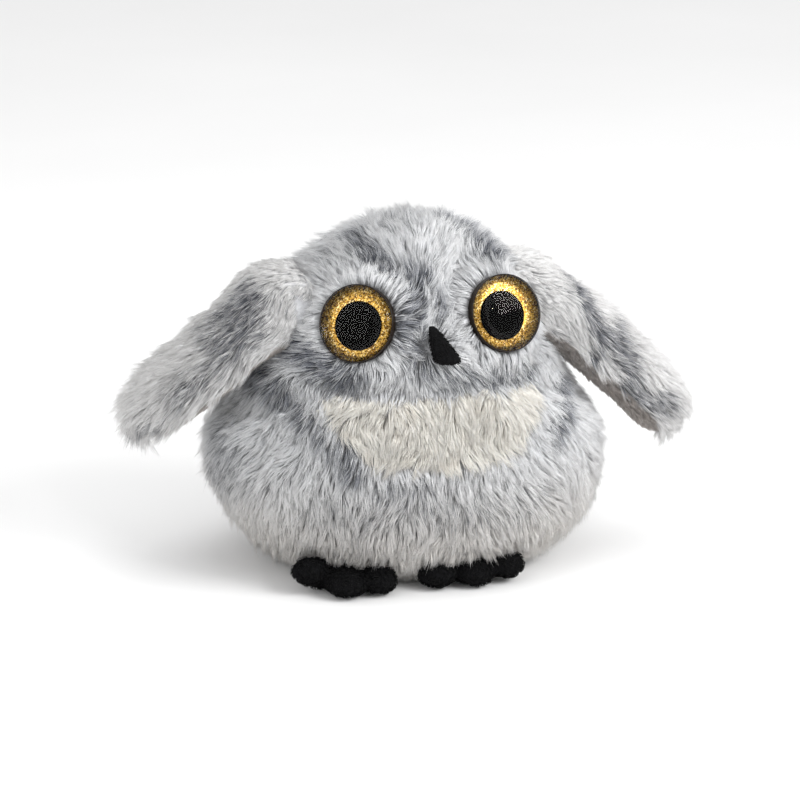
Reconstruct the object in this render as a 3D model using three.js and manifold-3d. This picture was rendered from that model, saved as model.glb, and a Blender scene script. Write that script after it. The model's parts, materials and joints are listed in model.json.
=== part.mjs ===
// Interactive plush owl: a fur body and two flapping wings over a battery-driven gear case.
// Millimetres, +Z up. The face looks along -Y, +X is the viewer's right, and the origin is
// the middle of the base, on the surface that the toy stands on.
import * as THREE from 'three';
import { mergeVertices } from 'three/addons/utils/BufferGeometryUtils.js';
import Module from 'manifold-3d';

const wasm = await Module();
wasm.setup();

// ---- driving dimensions -------------------------------------------------------------------
const HEIGHT = 134;            // floor to the crown, over the fur
const FUR = 7;                 // pile and backing cloth of the body skin
const WING_FUR = 4.5;          // the same on the wings
const GAP = 0.3;               // clearance between pieces that touch
const RUN = 0.8;               // clearance round the wing roots
const BODY_POWER = 2.3;        // 2 is an ellipse, more is squarer
const WING_AXIS = { x: 44, z: 98.5 };
const WING_ROOT_R = 16.5;       // the wing's shoulder turns inside the body with this radius
const WING_HALF_DEPTH = 28;    // half of the wing, front to back
const EYE = { x: 28, z: 102.5, radius: 15, pupil: 9.4 };
const CASE_HALF = 18;          // half of the gear case, front to back
const CASE_WALL = 2;
const MODULE = 1.5;            // gear tooth size
const TEETH = { wing: 10, idler: 28, pinion: 10, wheel: 20 };
const SHAFT_R = 2.5;           // wing shafts
const AXLE_R = 1.5;            // idler and reduction axles
const BATTERY = { radius: 5.2, length: 44.5, pitch: 11.6 };
const FEET_SHIFT = -7;         // the feet are sewn a little to one side

// body outline over the fur: height, half width, half depth
const BODY_LEVELS = [
  [0, 46, 42], [4, 57, 50], [11, 65.5, 56.5], [21, 72.5, 61.5], [33, 76, 64], [45, 76, 62.8],
  [55, 73, 61.3], [65, 67, 59.5], [76, 59, 57], [87, 54.5, 54], [98, 52.5, 50], [107, 48.5, 45],
  [114, 42, 40], [120, 35.5, 35], [126, 28.5, 28.5], [131, 18, 18], [HEIGHT, 6, 6],
];

// ---- solids -------------------------------------------------------------------------------
function solid(geometry) {
  const bare = geometry.clone();
  bare.deleteAttribute('normal');
  bare.deleteAttribute('uv');
  const merged = mergeVertices(bare, 1e-4);
  const vertProperties = new Float32Array(merged.attributes.position.array);
  const triVerts = new Uint32Array(merged.index.array);
  const shape = new wasm.Manifold(new wasm.Mesh({ numProp: 3, vertProperties, triVerts }));
  if (shape.volume() > 0) return shape;
  triVerts.reverse();
  return new wasm.Manifold(new wasm.Mesh({ numProp: 3, vertProperties, triVerts }));
}

function cut(whole, ...tools) {
  return tools.reduce((left, tool) => left.subtract(tool), whole);
}

function join(first, ...others) {
  return others.reduce((all, other) => all.add(other), first);
}

function asGeometry(shape) {
  const mesh = shape.getMesh();
  const geometry = new THREE.BufferGeometry();
  geometry.setAttribute('position', new THREE.BufferAttribute(mesh.vertProperties, 3));
  geometry.setIndex(new THREE.BufferAttribute(mesh.triVerts, 1));
  return geometry;
}

function mirrored(shape) {
  return solid(asGeometry(shape).scale(-1, 1, 1));
}

// A closed skin through rings of equal point count, with a fan at each end.
function loft(rings) {
  const sides = rings[0].length;
  const positions = rings.flat().flatMap((point) => point.toArray());
  const faces = [];
  for (let ring = 0; ring + 1 < rings.length; ring += 1) {
    for (let side = 0; side < sides; side += 1) {
      const a = ring * sides + side;
      const b = ring * sides + (side + 1) % sides;
      faces.push(a, b, b + sides, a, b + sides, a + sides);
    }
  }
  for (const [ring, first] of [[rings[0], 0], [rings.at(-1), (rings.length - 1) * sides]]) {
    const centre = new THREE.Vector3();
    ring.forEach((point) => centre.addScaledVector(point, 1 / sides));
    const hub = positions.length / 3;
    positions.push(...centre.toArray());
    for (let side = 0; side < sides; side += 1) {
      const edge = [first + side, first + (side + 1) % sides];
      faces.push(hub, ...(first === 0 ? edge.reverse() : edge));
    }
  }
  const geometry = new THREE.BufferGeometry();
  geometry.setAttribute('position', new THREE.Float32BufferAttribute(positions, 3));
  geometry.setIndex(faces);
  return solid(geometry);
}

// An outline in X and Z, extruded from y0 to y1.
function plateY(shape, y0, y1, curveSegments = 6) {
  const geometry = new THREE.ExtrudeGeometry(
    shape, { depth: y1 - y0, bevelEnabled: false, curveSegments });
  return solid(geometry.rotateX(Math.PI / 2).translate(0, y1, 0));
}

// An outline in X and Y, extruded from z0 to z1.
function plateZ(shape, z0, z1, curveSegments = 6) {
  const geometry = new THREE.ExtrudeGeometry(
    shape, { depth: z1 - z0, bevelEnabled: false, curveSegments });
  return solid(geometry.translate(0, 0, z0));
}

function block(x0, x1, y0, y1, z0, z1) {
  const geometry = new THREE.BoxGeometry(x1 - x0, y1 - y0, z1 - z0);
  return solid(geometry.translate((x0 + x1) / 2, (y0 + y1) / 2, (z0 + z1) / 2));
}

function rodY(radius, y0, y1, x, z, sides = 12) {
  const geometry = new THREE.CylinderGeometry(radius, radius, y1 - y0, sides);
  return solid(geometry.translate(x, (y0 + y1) / 2, z));
}

function rodZ(radius, z0, z1, x = 0, y = 0, sides = 14) {
  const geometry = new THREE.CylinderGeometry(radius, radius, z1 - z0, sides);
  return solid(geometry.rotateX(Math.PI / 2).translate(x, y, (z0 + z1) / 2));
}

function lathe(points, sides) {
  const profile = points.map(([radius, height]) => new THREE.Vector2(radius, height));
  return new THREE.LatheGeometry(profile, sides);
}

function outline(points) {
  return new THREE.Shape(points.map(([x, y]) => new THREE.Vector2(x, y)));
}

// ---- the plush body -----------------------------------------------------------------------
function superellipse(angle, rx, ry, power) {
  const c = Math.cos(angle);
  const s = Math.sin(angle);
  const x = Math.sign(c) * Math.abs(c) ** (2 / power) * rx;
  const y = Math.sign(s) * Math.abs(s) ** (2 / power) * ry;
  return [x, y];
}

// The body over its fur, grown or shrunk by an offset.
function bodyForm(offset, sides = 26, levels = BODY_LEVELS) {
  const stretch = (HEIGHT / 2 + offset) / (HEIGHT / 2);
  const rings = levels.map(([z, halfWidth, halfDepth]) => {
    const level = HEIGHT / 2 + (z - HEIGHT / 2) * stretch;
    const rx = Math.max(halfWidth + offset, 1);
    const ry = Math.max(halfDepth + offset, 1);
    return Array.from({ length: sides }, (_, side) => {
      const angle = 2 * Math.PI * side / sides;
      const [x, y] = superellipse(angle, rx, ry, BODY_POWER);
      return new THREE.Vector3(x, y, level);
    });
  });
  return loft(rings);
}

// The inside of the skin needs fewer facets than its outside.
function innerForm(offset) {
  return bodyForm(offset, 18, BODY_LEVELS.filter((_, i) => i % 2 === 0));
}

function bodyRadii(z) {
  const upper = BODY_LEVELS.findIndex(([level]) => level >= z);
  const [z1, w1, d1] = BODY_LEVELS[upper];
  const [z0, w0, d0] = BODY_LEVELS[upper - 1];
  const t = (z - z0) / (z1 - z0);
  return [THREE.MathUtils.lerp(w0, w1, t), THREE.MathUtils.lerp(d0, d1, t)];
}

function frontPoint(x, z) {
  const [rx, ry] = bodyRadii(z);
  const reach = 1 - Math.abs(x / rx) ** BODY_POWER;
  return new THREE.Vector3(x, -ry * reach ** (1 / BODY_POWER), z);
}

function frontNormal(x, z) {
  const step = 3;
  const across = frontPoint(x + step, z).sub(frontPoint(x - step, z));
  const up = frontPoint(x, z + step).sub(frontPoint(x, z - step));
  return across.cross(up).normalize();
}

// ---- wings --------------------------------------------------------------------------------
// centre line of the right wing: x, z, half thickness, half depth
const WING_SECTIONS = [
  [WING_AXIS.x + 2, WING_AXIS.z, 15, 27], [52.7, 95.5, 14.5, 28], [62.3, 89.2, 14, WING_HALF_DEPTH],
  [73.6, 79.2, 13.4, 28], [86.3, 66.7, 13, 27], [94.6, 56.5, 12.2, 23], [98.6, 49.5, 10, 16],
  [101, 44, 5, 8],
];

function wingLoft(offset, depthOffset = offset, sides = 14) {
  const line = WING_SECTIONS.map(([x, z]) => new THREE.Vector2(x, z));
  const rings = WING_SECTIONS.map(([, , thickness, depth], i) => {
    const ahead = line[Math.min(i + 1, line.length - 1)];
    const behind = line[Math.max(i - 1, 0)];
    const along = ahead.clone().sub(behind).normalize();
    const tipShift = i === line.length - 1 ? offset : 0;
    const centre = line[i].clone().addScaledVector(along, tipShift);
    return Array.from({ length: sides }, (_, side) => {
      const angle = 2 * Math.PI * side / sides;
      const rx = Math.max(thickness + offset, 1);
      const ry = Math.max(depth + depthOffset, 1);
      const [across, y] = superellipse(angle, rx, ry, BODY_POWER);
      return new THREE.Vector3(centre.x - along.y * across, y, centre.y + along.x * across);
    });
  });
  return loft(rings);
}

// The round shoulder that turns in the body's socket.
function wingRoot(offset) {
  const r = WING_ROOT_R + offset;
  const end = WING_HALF_DEPTH + offset;
  const profile = [
    [0, -end], [r * 0.55, -end], [r * 0.85, -end + 4], [r, -end + 10],
    [r, end - 10], [r * 0.85, end - 4], [r * 0.55, end], [0, end],
  ];
  return solid(lathe(profile, 20).translate(WING_AXIS.x, 0, WING_AXIS.z));
}

// The side of the root that faces the case stays open over the wing's whole swing.
function rootWindow() {
  const reach = 30;
  const halfDepth = CASE_HALF + RUN;
  const corners = [105, 145, 195, 245, 290].map((degrees) => {
    const angle = THREE.MathUtils.degToRad(degrees);
    return [WING_AXIS.x + reach * Math.cos(angle), WING_AXIS.z + reach * Math.sin(angle)];
  });
  return plateY(outline([[WING_AXIS.x, WING_AXIS.z], ...corners]), -halfDepth, halfDepth);
}

// Two arms and a cross bar that carry the wing on its shaft.
function wingFrame(grow) {
  const inner = CASE_HALF + 0.8 - grow;
  const outer = CASE_HALF + 2.4 + grow;
  const width = 3 + grow;
  const elbow = { x: 56, z: 93 };
  const bar = { x: 73.5, z: 79, half: 2 + grow };
  const arm = outline([
    [WING_AXIS.x, WING_AXIS.z + width], [elbow.x + 1, elbow.z + width],
    [bar.x + bar.half, bar.z + bar.half], [bar.x + bar.half, bar.z - bar.half],
    [bar.x - bar.half, bar.z - bar.half], [elbow.x - 1, elbow.z - width],
    [WING_AXIS.x, WING_AXIS.z - width],
  ]);
  const hubR = 5.4 + grow;
  const parts = [-1, 1].flatMap((side) => {
    const y0 = side < 0 ? -outer : inner;
    const y1 = side < 0 ? -inner : outer;
    return [plateY(arm, y0, y1), rodY(hubR, y0, y1, WING_AXIS.x, WING_AXIS.z, 16)];
  });
  const crossBar = block(
    bar.x - bar.half, bar.x + bar.half, -outer, outer, bar.z - bar.half, bar.z + bar.half);
  const whole = join(crossBar, ...parts);
  const bore = rodY(SHAFT_R + GAP, -40, 40, WING_AXIS.x, WING_AXIS.z);
  return grow > 0 ? whole : cut(whole, bore);
}

function wingSkin() {
  const outer = join(wingLoft(0), wingRoot(0));
  const rootCore = rodY(
    LOBE_R + 0.5, -CASE_HALF - 5, CASE_HALF + 5, WING_AXIS.x, WING_AXIS.z, 20);
  return cut(outer, wingLoft(-WING_FUR), rootCore, rootWindow());
}

function wingStuffing() {
  const filling = wingLoft(-WING_FUR - GAP, CASE_HALF - WING_HALF_DEPTH);
  const core = rodY(LOBE_R + 1.2, -40, 40, WING_AXIS.x, WING_AXIS.z, 20);
  const behind = block(0, WING_AXIS.x, -40, 40, 60, 130);
  return cut(filling, core, behind, wingFrame(GAP));
}

// ---- gear train ---------------------------------------------------------------------------
const pitchRadius = (teeth) => MODULE * teeth / 2;

const GEAR_Y = [9, 14];
const WHEEL_Y = [3.6, 8];
const idlerReach = pitchRadius(TEETH.idler);
const idlerDrop = Math.sqrt(
  (idlerReach + pitchRadius(TEETH.wing)) ** 2 - (WING_AXIS.x - idlerReach) ** 2);
const IDLER_Z = WING_AXIS.z - idlerDrop;
const REDUCER = { x: -idlerReach, z: IDLER_Z - idlerReach - pitchRadius(TEETH.pinion) };
const MOTOR = {
  x: REDUCER.x + pitchRadius(TEETH.wheel) + pitchRadius(TEETH.pinion), z: REDUCER.z, radius: 8,
};

// The turn that puts gear b in mesh with gear a, when b lies at the given angle from a.
function meshTurn(teethA, turnA, teethB, angle) {
  const stepA = 2 * Math.PI / teethA;
  const stepB = 2 * Math.PI / teethB;
  const phase = (angle - turnA) / stepA;
  return angle + Math.PI - stepB * (0.5 - phase);
}

function gear(teeth, turn, bore, [y0, y1], x, z) {
  const backlash = 0.45;
  const pitch = pitchRadius(teeth);
  const tip = pitch + 0.8 * MODULE;
  const root = pitch - 1.2 * MODULE;
  const base = pitch * Math.cos(THREE.MathUtils.degToRad(20));
  const involute = (radius) => {
    const angle = Math.acos(Math.min(base / radius, 1));
    return Math.tan(angle) - angle;
  };
  const halfTooth = (radius) => Math.PI / 2 / teeth - backlash / 2 / pitch
    + involute(pitch) - involute(Math.max(radius, base));
  const points = [];
  for (let tooth = 0; tooth < teeth; tooth += 1) {
    const middle = turn + 2 * Math.PI * tooth / teeth;
    for (const [radius, side] of [[root, -1], [pitch, -1], [tip, -1], [tip, 1], [pitch, 1], [root, 1]]) {
      const angle = middle + side * halfTooth(radius);
      points.push([radius * Math.cos(angle), radius * Math.sin(angle)]);
    }
  }
  const shape = outline(points);
  const hole = new THREE.Path();
  hole.absarc(0, 0, bore, 0, 2 * Math.PI, true);
  shape.holes.push(hole);
  const geometry = new THREE.ExtrudeGeometry(
    shape, { depth: y1 - y0, bevelEnabled: false, curveSegments: 5 });
  return solid(geometry.rotateX(Math.PI / 2).translate(x, y1, z));
}

function gearTrain() {
  const bore = AXLE_R + GAP;
  const towardsWing = Math.atan2(idlerDrop, WING_AXIS.x - idlerReach);
  const turn = { idlerLeft: 0 };
  turn.idlerRight = meshTurn(TEETH.idler, turn.idlerLeft, TEETH.idler, 0);
  turn.wingLeft = meshTurn(TEETH.idler, turn.idlerLeft, TEETH.wing, Math.PI - towardsWing);
  turn.wingRight = meshTurn(TEETH.idler, turn.idlerRight, TEETH.wing, towardsWing);
  turn.pinion = meshTurn(TEETH.idler, turn.idlerLeft, TEETH.pinion, -Math.PI / 2);
  turn.motor = meshTurn(TEETH.wheel, turn.pinion, TEETH.pinion, 0);
  const pinion = gear(TEETH.pinion, turn.pinion, bore, GEAR_Y, REDUCER.x, REDUCER.z);
  const wheel = gear(TEETH.wheel, turn.pinion, bore, WHEEL_Y, REDUCER.x, REDUCER.z);
  const sleeve = cut(
    rodY(4, WHEEL_Y[1] - 0.5, GEAR_Y[0] + 0.5, REDUCER.x, REDUCER.z),
    rodY(bore, 0, 20, REDUCER.x, REDUCER.z, 14));
  return {
    wing_gear_left:
      gear(TEETH.wing, turn.wingLeft, SHAFT_R + GAP, GEAR_Y, -WING_AXIS.x, WING_AXIS.z),
    wing_gear_right:
      gear(TEETH.wing, turn.wingRight, SHAFT_R + GAP, GEAR_Y, WING_AXIS.x, WING_AXIS.z),
    idler_gear_left: gear(TEETH.idler, turn.idlerLeft, bore, GEAR_Y, -idlerReach, IDLER_Z),
    idler_gear_right: gear(TEETH.idler, turn.idlerRight, bore, GEAR_Y, idlerReach, IDLER_Z),
    reduction_gear: join(wheel, pinion, sleeve),
    motor_pinion: gear(TEETH.pinion, turn.motor, 1 + GAP, WHEEL_Y, MOTOR.x, MOTOR.z),
  };
}

function shafts() {
  const end = CASE_HALF - CASE_WALL - GAP;
  const wingEnd = CASE_HALF + 2.9;
  return {
    wing_shaft_left: rodY(SHAFT_R, -wingEnd, wingEnd, -WING_AXIS.x, WING_AXIS.z),
    wing_shaft_right: rodY(SHAFT_R, -wingEnd, wingEnd, WING_AXIS.x, WING_AXIS.z),
    idler_axle_left: rodY(AXLE_R, -end, end, -idlerReach, IDLER_Z),
    idler_axle_right: rodY(AXLE_R, -end, end, idlerReach, IDLER_Z),
    reduction_axle: rodY(AXLE_R, -end, end, REDUCER.x, REDUCER.z),
  };
}

// ---- gear case ----------------------------------------------------------------------------
const CASE_TOP = IDLER_Z + 25.8;
const CASE_BOTTOM = REDUCER.z - 19.7;
const LOBE_R = 12;             // round each wing shaft
const SPEAKER = { x: 26, z: REDUCER.z - 1.5, radius: 12.5 };
const SCREWS = [
  [-37, CASE_BOTTOM + 4], [37, CASE_BOTTOM + 4], [-6.5, CASE_TOP - 4], [6.5, CASE_TOP - 4]];

function caseForm(offset, y0, y1) {
  const side = [
    [12, CASE_TOP + offset], [WING_AXIS.x - 10, WING_AXIS.z + 6.8 + offset],
    [WING_AXIS.x, WING_AXIS.z], [WING_AXIS.x + 1.8 + offset, WING_AXIS.z - 12.5],
    [46 + offset, IDLER_Z], [44 + offset, IDLER_Z - 22], [41 + offset, CASE_BOTTOM - offset],
  ];
  const otherSide = side.map(([x, z]) => [-x, z]).reverse();
  const lobes = [-1, 1].map(
    (sign) => rodY(LOBE_R + offset, y0, y1, sign * WING_AXIS.x, WING_AXIS.z, 18));
  return join(plateY(outline([...side, ...otherSide].reverse()), y0, y1), ...lobes);
}

function screwSite(radius, y0, y1) {
  return SCREWS.map(([x, z]) => rodY(radius, y0, y1, x, z, 8));
}

function caseFront() {
  const shell = cut(
    caseForm(0, -CASE_HALF, -GAP / 2),
    caseForm(-CASE_WALL, -CASE_HALF + CASE_WALL, 1));
  const posts = screwSite(3.4, -CASE_HALF + 0.5, -GAP / 2);
  const bores = [-1, 1].map(
    (sign) => rodY(SHAFT_R + GAP, -30, 0, sign * WING_AXIS.x, WING_AXIS.z));
  const grille = [0, 1, 2, 3, 4, 5].map((i) => {
    const angle = Math.PI * i / 3;
    const x = SPEAKER.x + 6 * Math.cos(angle);
    return rodY(1.6, -30, -CASE_HALF + 3, x, SPEAKER.z + 6 * Math.sin(angle), 6);
  });
  const microphoneHole = rodY(1.2, -30, -CASE_HALF + 3, MICROPHONE.x, MICROPHONE.z, 8);
  const pilots = screwSite(1.15, -9, 0);
  return cut(join(shell, ...posts), ...bores, ...grille, ...pilots, microphoneHole, buttonBore());
}

function caseRear() {
  const shell = cut(
    caseForm(0, GAP / 2, CASE_HALF),
    caseForm(-CASE_WALL, -1, CASE_HALF - CASE_WALL));
  const posts = screwSite(3.4, GAP / 2, CASE_HALF - 0.5);
  const bores = [-1, 1].map(
    (sign) => rodY(SHAFT_R + GAP, 0, 30, sign * WING_AXIS.x, WING_AXIS.z));
  const shanks = screwSite(1.6, 0, 30);
  const heads = screwSite(3, CASE_HALF - 1.6, 30);
  return cut(join(shell, ...posts), ...bores, ...shanks, ...heads, buttonBore());
}

function caseScrews() {
  return Object.fromEntries(SCREWS.map(([x, z], i) => {
    const shank = rodY(0.85, -8, CASE_HALF - 1, x, z, 8);
    const head = rodY(2.6, CASE_HALF - 1.3, CASE_HALF - 0.1, x, z, 10);
    const slot = block(x - 2, x + 2, CASE_HALF - 0.6, CASE_HALF + 1, z - 0.4, z + 0.4);
    return [`case_screw_${i + 1}`, cut(join(shank, head), slot)];
  }));
}

// ---- head button --------------------------------------------------------------------------
const BUTTON_TRAVEL = 2;
const BUTTON_TOP = CASE_TOP + 12;

function buttonBore() {
  return rodZ(2.4, CASE_TOP - 4, CASE_TOP + 2);
}

function headButton() {
  const stem = rodZ(2, CASE_TOP - CASE_WALL - 0.5, BUTTON_TOP - 1);
  const cap = rodZ(9, BUTTON_TOP - 3, BUTTON_TOP, 0, 0, 20);
  return join(stem, cap);
}

function buttonSpring() {
  const turns = 3;
  const low = CASE_TOP + 0.3 + 0.5;
  const high = BUTTON_TOP - 3 - 0.3 - 0.5;
  const points = Array.from({ length: turns * 8 + 1 }, (_, i) => {
    const angle = 2 * Math.PI * i / 8;
    const z = THREE.MathUtils.lerp(low, high, i / (turns * 8));
    return new THREE.Vector3(3.6 * Math.cos(angle), 3.6 * Math.sin(angle), z);
  });
  const wire = new THREE.Shape();
  wire.absarc(0, 0, 0.4, 0, 2 * Math.PI);
  return solid(new THREE.ExtrudeGeometry(wire, {
    steps: turns * 8, curveSegments: 3, extrudePath: new THREE.CatmullRomCurve3(points),
  }));
}

// ---- electronics and drive in the case ----------------------------------------------------
const BOARD = { x0: 13, x1: 39, z0: 42, z1: 74, y: -4 };
const MICROPHONE = { x: 26, z: 70.5 };

function motorParts() {
  const rear = -CASE_HALF + CASE_WALL + GAP;
  const can = join(
    rodY(MOTOR.radius, rear + 1.5, 1.6, MOTOR.x, MOTOR.z, 20),
    rodY(3, rear, 3, MOTOR.x, MOTOR.z, 12));
  const sides = [-1, 1].map((side) => block(
    MOTOR.x - 9, MOTOR.x + 9, -30, 30,
    side < 0 ? MOTOR.z - 12 : MOTOR.z + 6.3, side < 0 ? MOTOR.z - 6.3 : MOTOR.z + 12));
  return {
    motor: cut(can, rodY(1 + GAP, -2, 10, MOTOR.x, MOTOR.z), ...sides),
    motor_shaft: rodY(1, -1.6, WHEEL_Y[1] + 1, MOTOR.x, MOTOR.z, 10),
  };
}

function speakerParts() {
  const front = -CASE_HALF + CASE_WALL + GAP;
  const place = (geometry) => solid(
    geometry.translate(SPEAKER.x, 0, SPEAKER.z));
  const basket = lathe([
    [0, front + 8], [6.5, front + 8], [6.5, front + 4.5], [SPEAKER.radius, front + 2.4],
    [SPEAKER.radius, front], [10.6, front], [10.6, front + 2], [4, front + 5], [0, front + 5],
  ].reverse(), 20);
  const cone = lathe([
    [0, front + 4.6], [3.6, front + 4.6], [10.2, front + 1.6], [10.2, front + 1],
    [3.4, front + 3.6], [0, front + 3.6],
  ].reverse(), 20);
  return { speaker_basket: place(basket), speaker_cone: place(cone) };
}

function electronics() {
  const { x0, x1, z0, z1, y } = BOARD;
  const holes = [[x0 + 3, z1 - 3], [x1 - 3, z1 - 3]].map(([x, z]) => rodY(1.2, -10, 10, x, z, 8));
  const board = cut(block(x0, x1, y, y + 1.6, z0, z1), ...holes);
  const micFront = -CASE_HALF + CASE_WALL + GAP;
  return {
    circuit_board: board,
    controller_chip: block(20, 32, y + 1.6 + GAP, y + 3.4, 50, 58),
    microphone: rodY(3, micFront, micFront + 4, MICROPHONE.x, MICROPHONE.z, 12),
    touch_switch: join(
      block(-2.6, 2.6, -3, 3, CASE_TOP - 11, CASE_TOP - 6.5),
      rodZ(1.2, CASE_TOP - 7, CASE_TOP - 5, 0, 0, 8)),
    ...speakerParts(),
  };
}

// ---- battery box in the base --------------------------------------------------------------
const PLATE = { x: 23, y0: -27.5, y1: 32, z0: 4, z1: 6 };
const WELL = { x: 20, y0: -25.5, y1: 23.5, z1: 20 };
const DOOR = { x: 19, y0: -26, y1: 21, z0: 2, z1: 3.7, travel: 9 };
const SWITCH = { x: 0, y: 28.2 };

function batteryBox() {
  const plate = block(-PLATE.x, PLATE.x, PLATE.y0, PLATE.y1, PLATE.z0, PLATE.z1);
  const walls = block(-WELL.x, WELL.x, WELL.y0, WELL.y1, PLATE.z0, WELL.z1);
  const inside = block(
    -WELL.x + 1.8, WELL.x - 1.8, WELL.y0 + 1.8, WELL.y1 - 1.8, PLATE.z0 - 1, WELL.z1 - 1.8);
  const knobSlot = block(SWITCH.x - 5, SWITCH.x + 5, SWITCH.y - 1.8, SWITCH.y + 1.8, 0, 10);
  return cut(join(plate, walls), inside, knobSlot);
}

function batteries() {
  const middle = (WELL.y0 + WELL.y1) / 2;
  return Object.fromEntries([-1, 0, 1].map((place, i) => {
    const half = BATTERY.length / 2 - 0.4;
    const x = place * BATTERY.pitch;
    const z = 11.6;
    const sense = place === 0 ? -1 : 1;
    const can = rodY(BATTERY.radius, middle - half + 0.8, middle + half - 0.8, x, z, 16);
    const nub = rodY(1.9, middle - half, middle + half - 1, x, z, 10);
    const turned = rodY(1.9, middle - half + 1, middle + half, x, z, 10);
    return [`battery_${i + 1}`, join(can, sense > 0 ? turned : nub)];
  }));
}

function batteryContact(y0, y1) {
  return block(-16.5, 16.5, y0, y1, 7.2, 15.6);
}

function batteryDoor() {
  const door = block(-DOOR.x, DOOR.x, DOOR.y0, DOOR.y1, DOOR.z0, DOOR.z1);
  const grips = [0, 1, 2].map(
    (i) => block(-7, 7, 14 + 2.4 * i, 15.2 + 2.4 * i, DOOR.z0 - 1, DOOR.z0 + 0.6));
  return cut(door, ...grips);
}

function powerSwitch() {
  const body = cut(
    block(-7, 7, SWITCH.y - 3, SWITCH.y + 3, PLATE.z1 + GAP, PLATE.z1 + 6),
    block(-4.6, 4.6, SWITCH.y - 1.6, SWITCH.y + 1.6, 0, PLATE.z1 + 3));
  const knob = block(-3, 0, SWITCH.y - 1.2, SWITCH.y + 1.2, 4.2, PLATE.z1 + 2.6);
  return { power_switch: body, power_switch_knob: knob };
}

// ---- eyes ---------------------------------------------------------------------------------
// Each eye is built along +Y and then turned to the fur's normal; height 0 is the fur surface.
function eyePlace(sign) {
  const centre = frontPoint(EYE.x, EYE.z);
  const normal = frontNormal(EYE.x, EYE.z);
  const facing = new THREE.Vector3(normal.x * 0.95, normal.y, normal.z * 0.6).normalize();
  facing.x *= sign;
  const turn = new THREE.Quaternion().setFromUnitVectors(new THREE.Vector3(0, 1, 0), facing);
  const seat = centre.clone().addScaledVector(normal, -3.2);
  seat.x *= sign;
  return new THREE.Matrix4().compose(seat, turn, new THREE.Vector3(1, 1, 1));
}

function eyePiece(profile, place, sides = 20) {
  return solid(lathe(profile, sides).applyMatrix4(place));
}

function eyeParts(place) {
  const r = EYE.radius;
  const steps = 4;
  const dome = Array.from({ length: steps }, (_, i) => {
    const angle = Math.PI / 2 * i / steps;
    return [(r - 0.6) * Math.cos(angle), 4.3 + 6.4 * Math.sin(angle)];
  });
  dome.push([0, 4.3 + 6.4]);
  return {
    lens: eyePiece([[0, 4], [r - 0.6, 4], ...dome], place),
    pupil: eyePiece([[0, 3.1], [EYE.pupil, 3.1], [EYE.pupil, 3.7], [0, 3.7]], place, 20),
    iris: eyePiece([[0, 2.2], [r - 1, 2.2], [r - 1, 2.8], [0, 2.8]], place),
    cup: eyePiece([
      [0, -11], [2.4, -11], [2.4, 0], [r, 0], [r, 4.4], [r - 0.3, 4.4], [r - 0.3, 1.9], [0, 1.9],
    ], place),
    washer: eyePiece([
      [2.7, -7.6], [9, -7.6], [9, -6.2], [2.7, -6.2], [2.7, -7.6],
    ], place),
  };
}

function eyeHole(place) {
  const r = EYE.radius + 0.5;
  return eyePiece([[0, -20], [2.8, -20], [2.8, -GAP], [r, -GAP], [r, 30], [0, 30]], place);
}

function washerHole(place) {
  return eyePiece([[0, -12], [9.6, -12], [9.6, -5.6], [0, -5.6]], place);
}

// ---- trims on the front -------------------------------------------------------------------
function bellyPatch() {
  const shape = new THREE.Shape();
  shape.moveTo(-43, 75);
  shape.quadraticCurveTo(0, 77, 43, 75);
  shape.quadraticCurveTo(44, 62, 30, 51);
  shape.quadraticCurveTo(0, 45.5, -30, 51);
  shape.quadraticCurveTo(-44, 62, -43, 75);
  const prism = plateY(shape, -90, -20, 8);
  return bodyForm(1.8).intersect(prism).subtract(bodyForm(GAP));
}

function beak() {
  const levels = [[101, 1.8, 1.2], [98, 2.8, 4], [93, 4.4, 6], [88.5, 5.6, 5]];
  const rings = levels.map(([z, halfWidth, reach]) => {
    const front = frontPoint(0, z).y;
    return [[-1, 6], [-1, -0.55], [-0.5, -1], [0.5, -1], [1, -0.55], [1, 6]].map(
      ([across, out]) => new THREE.Vector3(
        halfWidth * across, front + (out > 0 ? out : reach * out), z));
  });
  return cut(loft(rings.reverse()), bodyForm(GAP));
}

function foot(x) {
  const front = -BODY_LEVELS[4][2];
  const toe = 6.6;
  const shape = new THREE.Shape();
  shape.moveTo(-3 * toe, -36);
  for (const [i, reach] of [[-1, 4], [0, 0], [1, 4]]) {
    shape.absarc(2 * toe * i, front + toe + reach, toe, Math.PI, 2 * Math.PI);
  }
  shape.lineTo(3 * toe, -36);
  const sole = plateZ(shape, 0, 11, 5).translate([x, 0, 0]);
  return cut(sole, bodyForm(GAP));
}

// ---- body skin and stuffing ---------------------------------------------------------------
function baseOpening(grow) {
  return block(
    -PLATE.x - grow, PLATE.x + grow, PLATE.y0 - grow, PLATE.y1 + grow, -5, WELL.z1 + grow);
}

function sockets() {
  const right = join(wingRoot(RUN), wingLoft(RUN));
  return [right, mirrored(right)];
}

function bodySkin(eyeHoles, washerHoles) {
  const opening = block(-PLATE.x - 0.6, PLATE.x + 0.6, PLATE.y0 - 0.6, PLATE.y1 + 0.6, -5, 12);
  const shell = cut(bodyForm(0), innerForm(-FUR));
  const caseRoom = caseForm(0.6, -CASE_HALF - 0.6, CASE_HALF + 0.6);
  return cut(shell, opening, caseRoom, ...sockets(), ...eyeHoles, ...washerHoles);
}

function bodyStuffing(eyeHoles, washerHoles) {
  const caseRoom = caseForm(0.6, -CASE_HALF - 0.6, CASE_HALF + 0.6);
  const buttonRoom = rodZ(9.8, CASE_TOP - 2, HEIGHT, 0, 0, 20);
  return cut(
    innerForm(-FUR - GAP), baseOpening(0.6), caseRoom, buttonRoom, ...sockets(), ...eyeHoles,
    ...washerHoles);
}

// ---- materials ----------------------------------------------------------------------------
function finish(color, roughness, metalness = 0) {
  return new THREE.MeshStandardMaterial({ color, roughness, metalness });
}

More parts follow.
